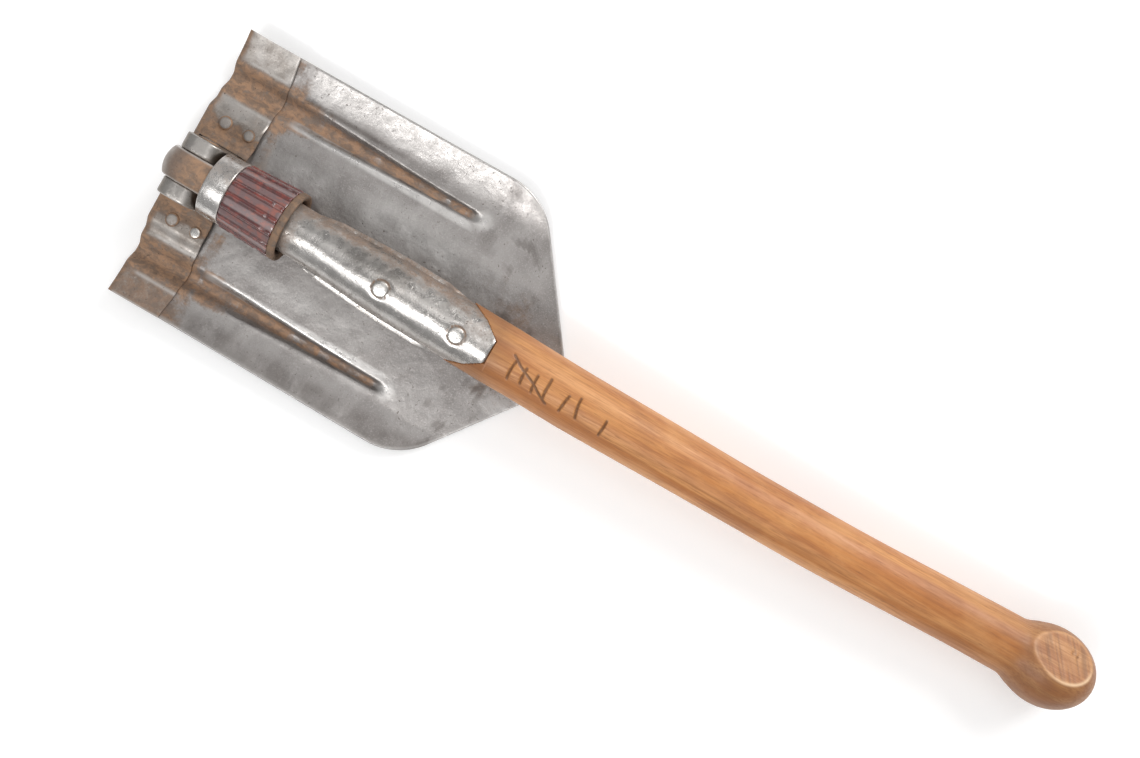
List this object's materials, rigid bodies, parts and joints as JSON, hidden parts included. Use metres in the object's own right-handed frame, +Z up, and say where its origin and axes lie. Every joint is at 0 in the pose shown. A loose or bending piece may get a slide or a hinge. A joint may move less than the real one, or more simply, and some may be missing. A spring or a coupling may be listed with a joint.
{
  "type": "folding camp shovel",
  "caption": "Folding camp shovel with a dished steel blade riveted to a hinge, a screwed ring lock and a wooden handle ending in a knob.",
  "frame": {"origin": "centre of the bounding box's underside, shovel folded and lying on the back of its blade", "axes": "+X along the handle from the hinge to the knob, +Y across the blade, +Z up from the blade to the handle"},
  "size_m": [0.5264, 0.1536, 0.0522],
  "materials": {
    "blade_steel": "worn, grey, light rust speckle",
    "rusty_steel": "brown rust patina",
    "bracket_steel": "worn, dull",
    "bright_steel": "worn bright",
    "rivet_steel": "worn",
    "socket_steel": "polished by wear, brown mottling",
    "bakelite": "mottled red-brown, worn gloss",
    "ash_wood": "oiled, satin"
  },
  "bodies": {
    "handle_assembly": {"handle": "ash_wood", "socket_shell_upper": "socket_steel", "socket_shell_lower": "socket_steel", "socket_rivet_front": "rivet_steel", "socket_rivet_rear": "rivet_steel", "spigot": "rusty_steel"},
    "blade_assembly": {"blade": "blade_steel", "shoulder_plate": "rusty_steel", "hinge_bracket": "bracket_steel", "plate_rivet_1": "rivet_steel", "plate_rivet_2": "rivet_steel", "plate_rivet_3": "rivet_steel", "plate_rivet_4": "rivet_steel", "hinge_pin": "bracket_steel"},
    "thrust_ring": {"thrust_ring": "bright_steel"},
    "locking_nut": {"nut_core": "rusty_steel", "nut_grip": "bakelite"}
  },
  "joints": [
    {"name": "blade_fold", "type": "hinge", "parent": "handle_assembly", "child": "blade_assembly", "pos_m": [-0.24629, 0, 0.03193], "axis": [0, 1, 0], "range_deg": [0, 180]},
    {"name": "ring_slide", "type": "slide", "parent": "handle_assembly", "child": "thrust_ring", "axis": [-1, 0, 0], "range_m": [-0.004, 0.00145]},
    {"name": "nut_spin", "type": "hinge", "parent": "thrust_ring", "child": "locking_nut", "pos_m": [-0.24629, 0, 0.03193], "axis": [-1, 0, 0], "range_deg": [-360, 130]}
  ],
  "couplings": [
    {"joint": "ring_slide", "follows": "nut_spin", "m_per_rad": 0.00063662}
  ]
}
